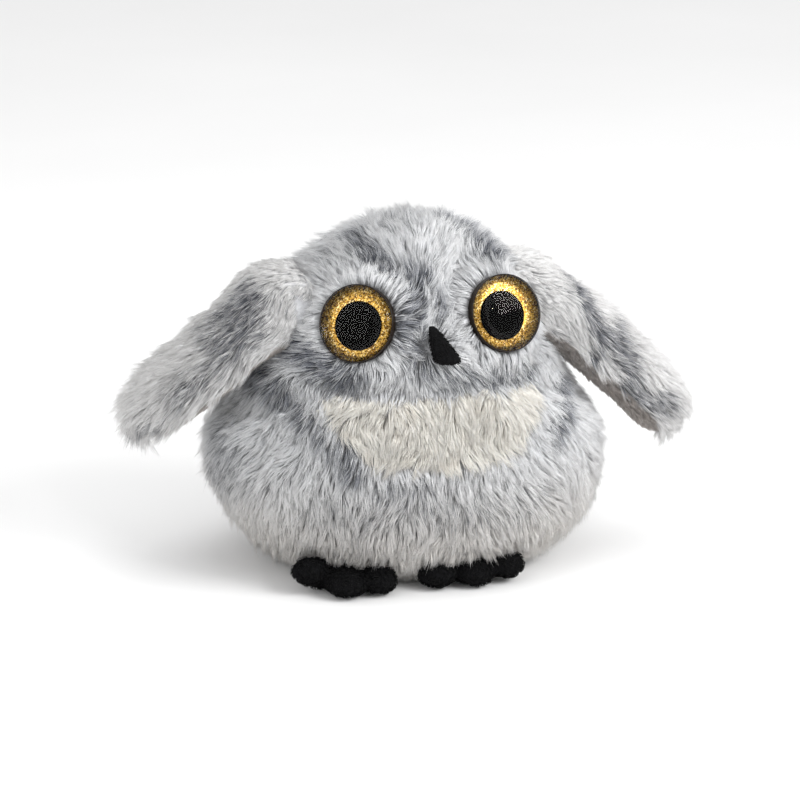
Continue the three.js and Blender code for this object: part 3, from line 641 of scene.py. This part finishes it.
def back_mottles(points):
    """Mottles on the sides and back, where the strokes of the front end."""
    rear = smoothstep(0.1, 0.35, points[:, 1] / HALF_DEPTH)
    return 0.8 * rear * smoothstep(0.18, 0.5, noise_at(points, 17 * MM, 40.0))


def body_comb(roots):
    """Which way the body's fur lies."""
    share = roots[:, 2] / HEIGHT
    out = roots - FACE_CENTRE
    front = smoothstep(0.15, -0.35, roots[:, 1] / HALF_DEPTH)
    down = np.stack([roots[:, 0] * 6, roots[:, 1] * 2, np.full(len(roots), -1.0)], axis=1)
    radial = unit(out) + np.array([0, 0.0, 0.12])
    crown = np.stack([roots[:, 0] * 18, np.full(len(roots), 0.85), np.full(len(roots), 0.25)], axis=1)
    face = front * smoothstep(0.575, 0.62, share)
    top = smoothstep(0.86, 0.95, share)
    comb = unit(down) * (1 - face)[:, None] + unit(radial) * face[:, None]
    comb = comb * (1 - top)[:, None] + unit(crown) * top[:, None]
    for eye in EYES:
        height, off = eye.split(roots)
        distance = np.linalg.norm(off, axis=1)
        near = smoothstep(eye.radius * 1.9, eye.radius * 1.05, distance) * (height > -20 * MM)
        comb = comb * (1 - near)[:, None] + unit(off) * near[:, None]
    return comb


def swirled(comb, normals, roots, size, degrees, offset):
    """The comb direction turned about the normal by broad and by fine smooth noise."""
    broad, fine = noise_at(roots, size, offset), noise_at(roots, size / 3.5, offset + 50)
    turn = np.radians(degrees) * (broad + 0.7 * fine)
    side = np.cross(normals, comb)
    return comb * np.cos(turn)[:, None] + side * np.sin(turn)[:, None]


def clear_of_eyes(paths):
    """Strands that would cross an eye are pushed outwards to its rim."""
    for eye in EYES:
        height, off = eye.split(paths)
        distance = np.linalg.norm(off, axis=-1)
        edge = eye.radius - 1.0 * MM
        inside = (distance < edge) & (height > -6 * MM)
        push = np.where(inside, edge - distance, 0)
        paths = paths + unit(off) * push[..., None]
    return paths


def pile_colours(roots, dark, rng, floor_bounce):
    """Colours along each strand: grey roots to pale tips, dark where the fur is mottled and where shade is
    painted, warmed by painted floor reflection in the given share.
    """
    count = len(roots)
    broken = noise_at(roots, 2.2 * MM, 17.0)
    picked = smoothstep(-0.12, 0.12, dark * (1 + 0.8 * broken) - 0.2 - 0.95 * rng.random(count))
    dark = np.clip(0.2 * dark + 0.8 * picked, 0, 1)[:, None]
    light = 1 + 0.09 * rng.standard_normal((count, 1)) + 0.08 * noise_at(roots, 6 * MM, 9.0)[:, None]
    # the warm tint is painted light reflected from the floor
    tint = light * (1 + (FLOOR_BOUNCE_TINT - 1) * np.asarray(floor_bounce)[..., None])
    root = (ROOT * (1 - dark) + DARK_ROOT * dark) * tint
    middle = (MIDDLE * (1 - dark) + DARK_MIDDLE * dark) * tint
    tip = (TIP * (1 - dark) + DARK_TIP * dark) * tint
    return np.clip(shade_strands(root, middle, tip), 0.004, 0.95)


def fur_density(points):
    """More strands on the front, where the fur is finest."""
    return 0.5 + 0.5 * smoothstep(0.25, -0.1, points[:, 1] / HALF_DEPTH)


def body_fur(cloth, rng):
    roots, normals = scatter(cloth, FUR_PER_MM2, rng, fur_density)
    keep = ~in_patch(roots) & ~hidden_by_wing(roots) & (roots[:, 2] > 3 * MM)
    keep &= ~under_battery_box(roots, 3.5 * MM)
    for eye in EYES:
        height, off = eye.split(roots)
        keep &= (np.linalg.norm(off, axis=1) > eye.radius * 0.86) | (height < -14 * MM)
    roots, normals = roots[keep], normals[keep]
    comb = swirled(unit(body_comb(roots)), normals, roots, 14 * MM, 50, 3.0)
    share = roots[:, 2] / HEIGHT
    length = LOCK_LENGTH * (0.8 + 0.35 * rng.random(len(roots)))
    for eye in EYES:
        off = np.linalg.norm(eye.split(roots)[1], axis=1)
        length *= 1 - 0.25 * smoothstep(eye.radius * 1.9, eye.radius * 1.1, off)
    length *= 1 - 0.35 * smoothstep(0.08, 0.0, share)
    lift = 42 + 9 * rng.standard_normal(len(roots))
    paths = combed_paths(roots, normals, comb, length, lift)
    paths = locked(paths, rng, LOCK_STRANDS, 0.55)
    paths = clear_of_eyes(paths)
    # the strokes carry the mottles and the painted shade on the left flank
    dark = np.maximum(mottle_at(roots, BODY_MOTTLES_AND_FLANK_SHADE), back_mottles(roots))
    dark = np.maximum(dark, 0.32 * smoothstep(0.3, 0.8, noise_at(roots, 8 * MM, 11.0)))
    # painted warm floor reflection, strongest at the base and gone above the lower part of the body
    floor_bounce = smoothstep(0.42, 0.08, share)
    return roots, paths, pile_colours(roots, dark, rng, floor_bounce)


def locked(paths, rng, strands, strength):
    """Strands gathered into small locks, each lock bent its own way."""
    pull = np.clip(strength + 0.2 * rng.standard_normal(len(paths)), 0, 0.95)
    paths, lock = clumped(paths, strands, pull, rng)
    share = np.linspace(0, 1, paths.shape[1])[None, :, None] ** 1.5
    reach = np.linalg.norm(paths[:, -1] - paths[:, 0], axis=1)[:, None, None]
    lock_bend = rng.standard_normal((lock.max() + 1, 1, 3))[lock] * 0.1
    own_bend = rng.standard_normal((len(paths), 1, 3)) * 0.05
    return paths + (lock_bend + own_bend) * reach * share


def outside_body(points):
    """Points that are not buried in the body's cloth."""
    share = points[:, 2] / HEIGHT
    heights, widths, depths = np.array(BODY_PROFILE).T
    across = np.interp(share, heights, widths) * HALF_WIDTH - PILE
    deep = np.interp(share, heights, depths) * HALF_DEPTH - PILE
    level = (np.abs(points[:, 0] - CROWN_LEAN / 2) / np.maximum(across, MM)) ** BODY_POWER
    level += (np.abs(points[:, 1]) / np.maximum(deep, MM)) ** BODY_POWER
    return level > 0.95


def hidden_by_wing(points):
    """Roots on the body that lie inside a wing's shoulder."""
    across = np.hypot(np.abs(points[:, 0]) - WING_AXIS[0], points[:, 2] - WING_AXIS[2])
    return (across < SHOULDER_RADIUS) & (np.abs(points[:, 1]) < SHOULDER_HALF_DEPTH)


def body_regions(roots):
    """Splits the body's fur into pieces: the crown, then bands of height, each cut front and back, left and right.
    Splits the body's fur into pieces that stay small enough to keep every strand.
    """
    share = roots[:, 2] / HEIGHT
    front = roots[:, 1] < 0
    left = roots[:, 0] < 0
    yield "fur_crown", share > 0.86
    for name, low, high in (("brow", 0.72, 0.86), ("cheek", 0.55, 0.72),
                            ("flank", 0.30, 0.55), ("belly", 0.16, 0.30), ("base", -1, 0.16)):
        band = (share > low) & (share <= high)
        yield f"fur_{name}_front_left", band & front & left
        yield f"fur_{name}_front_right", band & front & ~left
        yield f"fur_{name}_back_left", band & ~front & left
        yield f"fur_{name}_back_right", band & ~front & ~left


# ---- wing fur -----------------------------------------------------------------------------
def wing_fur(cloth, side, rng):
    sign = SIGN[side]
    roots, normals = scatter(cloth, FUR_PER_MM2, rng, fur_density)
    inner = np.hypot(np.abs(roots[:, 0]) - WING_AXIS[0], roots[:, 2] - WING_AXIS[2])
    keep = outside_body(roots) & ((np.abs(roots[:, 0]) > WING_AXIS[0]) | (inner > 9 * MM))
    roots, normals = roots[keep], normals[keep]
    under = under_wing(normals, sign)
    long = 1 - under
    along = np.array([0.72 * sign, 0.0, -0.69])
    edge = np.stack([np.zeros(len(roots)), roots[:, 1] * 9, np.full(len(roots), -0.25)], axis=1)
    comb = swirled(unit(along + edge), normals, roots, 14 * MM, 40, 8.0)
    length = SHORT_LENGTH + (LOCK_LENGTH - SHORT_LENGTH) * long
    length *= 0.8 + 0.35 * rng.random(len(roots))
    lift = (38 + 9 * rng.standard_normal(len(roots))) * (0.8 + 0.2 * long)
    outer = beyond_root(roots)
    length *= 0.55 + 0.45 * outer
    lift *= 0.3 + 0.7 * outer
    paths = combed_paths(roots, normals, comb, length, lift)
    paths = locked(paths, rng, LOCK_STRANDS, 0.5)
    mottles = LEFT_WING_MOTTLES if sign < 0 else RIGHT_WING_MOTTLES
    dark = np.maximum(mottle_at(roots, mottles), back_mottles(roots))
    dark = np.maximum(dark, 0.25 * smoothstep(0.3, 0.8, noise_at(roots, 8 * MM, 21.0 + sign)))
    # the wings carry the painted warm floor reflection at 0.35 of full strength all over
    colours = pile_colours(roots, dark, rng, 0.35 * np.ones(len(roots)))
    flat = under[:, None, None]
    light = 1 + 0.1 * rng.standard_normal((len(roots), 1, 1))
    shaded = UNDER_WING * light * np.linspace(0.75, 1.1, STRAND_POINTS)[None, :, None]
    return under, paths, colours * (1 - flat) + shaded * flat


# ---- assembling the plush -----------------------------------------------------------------
def add_fur(name, paths, colours, rng, look):
    widths = STRAND_RADIUS * (0.8 + 0.4 * rng.random(len(paths)))
    piece = new_object(name, strand_mesh(name, paths, colours, widths))
    piece.data.materials.append(look)
    return piece


def make_body(look, cloth_look):
    rng = np.random.default_rng(SEED)
    cloth = body_cloth()
    cloth.data.materials.append(cloth_look)
    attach(cloth, "body")
    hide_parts("body_skin", "body_stuffing")
    roots, paths, colours = body_fur(cloth, rng)
    for name, chosen in body_regions(roots):
        piece = add_fur(name, paths[chosen], colours[chosen], rng, look)
        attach(piece, "body")
    return cloth


def make_wing(side, look, cloth_look):
    rng = np.random.default_rng(SEED + (1 if side == "left" else 2))
    cloth = wing_cloth(side)
    cloth.data.materials.append(cloth_look)
    under, paths, colours = wing_fur(cloth, side, rng)
    upper, front = under < 0.5, paths[:, 0, 1] < 0
    parts = {"top_front": upper & front, "top_back": upper & ~front, "under": ~upper}
    pieces = [
        add_fur(f"fur_wing_{side}_{part}", paths[chosen], colours[chosen], rng, look)
        for part, chosen in parts.items()
    ]
    for piece in [cloth, *pieces]:
        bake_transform(piece)
    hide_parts(f"wing_skin_{side}", f"wing_stuffing_{side}")


def make_patch(cloth):
    """The cream pile on the belly."""
    rng = np.random.default_rng(SEED + 5)
    roots, normals = scatter(cloth, 1.5 * FUR_PER_MM2, rng, weight=in_patch)
    inside = in_patch(roots)
    roots, normals = roots[inside], normals[inside]
    down = np.stack([roots[:, 0] * 3, np.zeros(len(roots)), np.full(len(roots), -0.8)], axis=1)
    comb = swirled(unit(down), normals, roots, 12 * MM, 70, 2.0)
    length = LOCK_LENGTH * (0.8 + 0.35 * rng.random(len(roots)))
    lift = 40 + 9 * rng.standard_normal(len(roots))
    paths = combed_paths(roots, normals, comb, length, lift)
    paths = locked(paths, rng, 2 * LOCK_STRANDS, 0.4)
    light = 1 + 0.07 * rng.standard_normal((len(roots), 1))
    streak = smoothstep(0.1, 0.8, noise_at(roots, 7 * MM, 31.0))[:, None]
    tip = CREAM_TIP * (1 - streak) + CREAM_STREAK * streak
    colours = shade_strands(CREAM_ROOT * light, CREAM_MIDDLE * light, tip * light)
    look = fur_material("cream_pile")
    piece = add_fur("fur_belly_patch", paths, np.clip(colours, 0, 0.93), rng, look)
    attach(piece, "body")
    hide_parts("belly_patch")


# ---- eyes ---------------------------------------------------------------------------------
def turned(name, profile, seat, look, node, shift=Vector((0, 0, 0)), sides=96):
    """A lathed piece on the eye's axis: profile points are radius and height."""
    angle = np.linspace(0, 2 * np.pi, sides, endpoint=False)
    rings = [
        np.stack([r * np.cos(angle), r * np.sin(angle), np.full(sides, h)], axis=1)
        for r, h in profile]
    vertices, faces = closed_rings(rings)
    mesh = mesh_from(name, vertices, faces)
    mesh.transform(seat.matrix(shift))
    piece = new_object(name, mesh)
    piece.data.materials.append(look)
    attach(piece, "body")
    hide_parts(node)
    return piece


def arc(radius, height, start, end, steps, centre=(0.0, 0.0)):
    angle = np.radians(np.linspace(start, end, steps))
    return [(centre[0] + radius * math.cos(a), centre[1] + height * math.sin(a)) for a in angle]


def make_eye(seat, looks):
    """Black rim and back, glitter disc, domed pupil and clear dome, from the back forwards."""
    r = seat.radius
    inner = r - 0.42 * MM
    hub = 0.2 * MM
    rim = arc(0.28 * MM, 0.28 * MM, -60, 200, 10, (r - 0.2 * MM, 1.3 * MM))
    side = seat.side
    turned(f"eye_rim_{side}", [
        (0.4 * MM, -3 * MM), (r - 2 * MM, -3 * MM), (r, -1.6 * MM), *rim,
        (inner, 0.6 * MM), (inner - 0.1 * MM, -0.4 * MM), (0.4 * MM, -0.4 * MM),
    ], seat, looks["cup"], f"eye_cup_{side}")
    turned(f"eye_glitter_{side}", [
        (hub, -0.25 * MM), (inner, -0.25 * MM), (inner, 0.25 * MM), (inner * 0.6, 0.32 * MM),
        (hub, 0.32 * MM)], seat, looks["glitter"], f"eye_iris_{side}")
    pupil = 0.63 * r
    turned(f"eye_black_{side}", [
        (hub, 0.5 * MM), (pupil - 0.2 * MM, 0.5 * MM), (pupil, 0.7 * MM),
        *arc(pupil, 1.1 * MM, 8, 88, 8, (0, 0.75 * MM))],
        seat, looks["pupil"], f"eye_pupil_{side}", seat.pupil_shift)
    dome = arc(inner, 4.6 * MM, 0, 89, 22, (0, 1.6 * MM))
    turned(f"eye_dome_{side}", [(hub, 1.55 * MM), (inner, 1.55 * MM), *dome],
           seat, looks["lens"], f"eye_lens_{side}")


# ---- beak ---------------------------------------------------------------------------------
def make_beak(look):
    """A felt wedge, slim at the top, that leans to one side and ends bluntly."""
    low, high = (np.array(corner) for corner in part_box("beak"))
    size = high - low
    rows = smooth_table([
        # share of the height, of the width, of the reach, and the sideways lean
        (1.0, 0.18, 0.14, -0.30), (0.9, 0.32, 0.38, -0.26), (0.7, 0.48, 0.66, -0.18),
        (0.45, 0.64, 0.88, -0.07), (0.2, 0.80, 1.0, 0.06), (0.06, 0.82, 0.98, 0.12),
        (0.0, 0.66, 0.86, 0.13),
    ], 26)
    across, out = superellipse(40, 2.8)
    rings = []
    for t, width, reach, lean in rows:
        depth = reach * size[1]
        rings.append(np.stack([
            (across * width * 0.5 + lean) * size[0] + (low[0] + high[0]) / 2 + 4 * MM,
            high[1] - depth / 2 - 1.5 * MM + out * depth / 2,
            np.full(len(across), low[2] + t * size[2] - 1.2 * MM)], axis=1))
    mesh = mesh_from("felt_beak", *closed_rings(rings[::-1]))
    piece = new_object("felt_beak", mesh)
    piece.data.materials.append(look)
    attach(piece, "body")
    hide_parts("beak")
    rng = np.random.default_rng(SEED + 12)
    black_pile("fur_beak", piece, lambda p: p[:, 1] < high[1] - 3 * MM, 0.9 * MM, rng)


# ---- feet ---------------------------------------------------------------------------------
# share of the width across, set back in millimetres, share of the width, rise in millimetres
TOES = {
    "left": [(-0.33, 9, 0.17, 3.5), (-0.02, 0, 0.20, 0), (0.29, 1.5, 0.17, 0), (0, 12, 0.42, 0)],
    "right": [(-0.36, 4, 0.19, 0.5), (0.0, 3.5, 0.19, 0), (0.32, 7, 0.16, 1.5), (0, 14, 0.42, 0)],
}


def foot_form(side):
    """A flat pad with three stuffed toes, joined in one skin."""
    low, high = (np.array(corner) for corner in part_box(f"foot_{side}"))
    width = high[0] - low[0]
    middle = (high[0] + low[0]) / 2
    front, rear, thick = low[1] + 2 * MM, -40 * MM, 9.5 * MM
    build = bmesh.new()
    for across, back, wide, rise in TOES[side]:
        start = front + back * MM
        above = thick / 2 + FLOOR_CLEAR + rise * MM
        centre = Vector((middle + across * width, (start + rear) / 2, above))
        size = (wide * width, (rear - start) / 2, thick / 2)
        bmesh.ops.create_uvsphere(
            build, u_segments=28, v_segments=18, radius=1,
            matrix=Matrix.Translation(centre) @ Matrix.Diagonal((*size, 1)))
    mesh = bpy.data.meshes.new(f"foot_plush_{side}")
    build.to_mesh(mesh)
    build.free()
    piece = new_object(f"foot_plush_{side}", mesh)
    remeshed(piece, 1.1 * MM)
    return piece


def remeshed(piece, voxel):
    change = piece.modifiers.new("remesh", "REMESH")
    change.mode = "VOXEL"
    change.voxel_size = voxel
    change.use_smooth_shade = True
    soften = piece.modifiers.new("soften", "SMOOTH")
    soften.iterations = 4
    apply_modifiers(piece)


def apply_modifiers(piece):
    graph = bpy.context.evaluated_depsgraph_get()
    mesh = bpy.data.meshes.new_from_object(piece.evaluated_get(graph))
    piece.modifiers.clear()
    piece.data = mesh
    mesh.shade_smooth()


def black_pile(name, piece, keep, length, rng):
    """Short black pile all over the part of a piece that shows."""
    roots, normals = scatter(piece, 2.4, rng)
    shown = keep(roots)
    roots, normals = roots[shown], normals[shown]
    comb = np.tile(np.array([0.0, -1.0, -0.35]), (len(roots), 1))
    comb = swirled(comb, normals, roots, 5 * MM, 90, 4.0)
    lengths = length * (0.7 + 0.6 * rng.random(len(roots)))
    paths = combed_paths(roots, normals, comb, lengths, np.full(len(roots), 60.0))
    paths, _ = clumped(paths, 8, 0.5 + 0.2 * rng.random(len(roots)), rng)
    light = 0.6 + 0.8 * rng.random((len(roots), 1))
    colours = shade_strands(0.003 * light, 0.006 * light, 0.016 * light) * np.ones(3)
    look = fur_material(f"{name}_look", sheen=0.0, specular=0.1)
    pile = add_fur(name, paths, colours, rng, look)
    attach(pile, "body")


def make_foot(side, cloth_look):
    rng = np.random.default_rng(SEED + (8 if side == "left" else 9))
    foot = foot_form(side)
    foot.data.materials.append(cloth_look)
    black_pile(
        f"fur_foot_{side}", foot, lambda p: (p[:, 1] < -44 * MM) & (p[:, 2] > 1.2 * MM),
        1.6 * MM, rng)
    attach(foot, "body")
    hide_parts(f"foot_{side}")


# ---- finishes of the parts inside ---------------------------------------------------------
def inner_finishes():
    grey = mottled_material("casing_plastic", (0.62, 0.62, 0.63), (0.70, 0.70, 0.71), 0.4 * MM, 0.45)
    return {
        "casing": grey,
        "nylon": mottled_material("nylon_gears", (0.74, 0.70, 0.60), (0.84, 0.80, 0.70), 0.8 * MM, 0.38),
        "steel": mottled_material(
            "satin_steel", (0.45, 0.45, 0.46), (0.62, 0.62, 0.63), 0.5 * MM, 0.32, metallic=1.0),
        "dark_plastic": mottled_material(
            "dark_plastic", (0.03, 0.03, 0.033), (0.055, 0.055, 0.06), 0.4 * MM, 0.42),
        "circuit_board": mottled_material(
            "board_green", (0.015, 0.12, 0.05), (0.04, 0.22, 0.09), 2.5 * MM, 0.35, bump=0.05),
        "plated_metal": mottled_material(
            "plated_metal", (0.6, 0.6, 0.6), (0.75, 0.75, 0.75), 1 * MM, 0.2, metallic=1.0),
        "battery_wrap": mottled_material(
            "battery_wrap", (0.05, 0.09, 0.2), (0.09, 0.14, 0.28), 3 * MM, 0.3, bump=0.03),
        "eye_cup": plain_gloss("cup_black", (0.012, 0.008, 0.006), 0.25),
    }


def finish_nodes():
    looks = inner_finishes()
    slots = {part["node"]: part["material_slot"] for part in frame["record"]["subparts"]}
    for name, node in frame["nodes"].items():
        look = looks.get(slots[name])
        if look is None:
            continue
        for place in range(len(node.material_slots)):
            node.material_slots[place].material = look


def make_spring():
    """The coil under the head button, copied into a piece with a mesh of its own; the real coil shortens as the
    button goes down.
    """
    coil = frame["nodes"]["button_spring"]
    spring = new_object("coil_spring", coil.data.copy())
    spring.matrix_world = coil.matrix_world.copy()
    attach(spring, "body")
    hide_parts("button_spring")
    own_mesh(spring)


# ---- stage --------------------------------------------------------------------------------
FLOOR_HALF = 3.0


def make_floor():
    corners = [(x * FLOOR_HALF, y * FLOOR_HALF, 0) for x, y in ((-1, -1), (1, -1), (1, 1), (-1, 1))]
    mesh = mesh_from("floor", corners, [(0, 1, 2, 3)])
    floor = new_object("floor", mesh)
    floor.data.materials.append(mottled_material(
        "pale_floor", (0.86, 0.86, 0.86), (0.9, 0.9, 0.9), 0.3, 0.8, bump=0.0))


# name, place, size across and power of each lamp
LAMPS = [
    ("key", (0.6, -0.6, 0.6), 0.5, 7.5), ("fill", (-0.8, -0.6, 0.45), 0.7, 3.0),
    ("top", (0.1, 0.25, 0.9), 0.6, 1.6), ("sparkle", (0.35, -0.9, 0.55), 0.05, 0.8),
]
LAMP_AIM = Vector((0, 0, 0.07))
ROOM_LIGHT = 0.85


def add_area(name, place, size, power):
    data = bpy.data.lights.new(name, "AREA")
    data.size = size
    data.energy = power
    lamp = bpy.data.objects.new(name, data)
    lamp.location = place
    lamp.rotation_euler = (LAMP_AIM - Vector(place)).to_track_quat("-Z", "Y").to_euler()
    bpy.context.scene.collection.objects.link(lamp)


def make_lights():
    world = bpy.data.worlds.new("studio")
    world.use_nodes = True
    background = world.node_tree.nodes["Background"]
    background.inputs["Color"].default_value = (1, 1, 1, 1)
    background.inputs["Strength"].default_value = ROOM_LIGHT
    bpy.context.scene.world = world
    for lamp in LAMPS:
        add_area(*lamp)


def make_camera():
    azimuth, elevation = math.radians(-12.5), math.radians(16)
    distance, view_width = 1.8, 0.300
    aim = Vector((0.0, 0.0, 0.058))
    away = Vector((
        math.sin(azimuth) * math.cos(elevation), -math.cos(azimuth) * math.cos(elevation),
        math.sin(elevation)))
    data = bpy.data.cameras.new("camera")
    data.lens = data.sensor_width * distance / view_width
    camera = bpy.data.objects.new("camera", data)
    camera.location = aim + away * distance
    camera.rotation_euler = (-away).to_track_quat("-Z", "Y").to_euler()
    bpy.context.scene.collection.objects.link(camera)
    bpy.context.scene.camera = camera


def main():
    make_camera()
    make_floor()
    make_lights()
    bpy.context.scene.view_settings.view_transform = "Standard"
    fur = fur_material("grey_pile")
    cloth_look = mottled_material(
        "backing_cloth", (0.36, 0.365, 0.38), (0.5, 0.505, 0.52), 1.2 * MM, 0.95, sheen=0.3)
    felt = mottled_material("black_felt", (0.003, 0.003, 0.003), (0.007, 0.007, 0.008), 0.4 * MM,
                            0.95, bump=0.6, specular=0.08)
    cloth = make_body(fur, cloth_look)
    for side in ("left", "right"):
        make_wing(side, fur, cloth_look)
    make_patch(cloth)
    looks = {
        "cup": plain_gloss("rim_black", (0.018, 0.012, 0.008), 0.3, coat=0.1),
        "glitter": glitter_material(),
        "pupil": plain_gloss("pupil_black", (0.002, 0.002, 0.002), 0.5, coat=0),
        "lens": lens_material(),
    }
    for seat in EYES:
        make_eye(seat, looks)
    make_beak(felt)
    for side in ("left", "right"):
        make_foot(side, felt)
    finish_nodes()
    make_spring()


main()
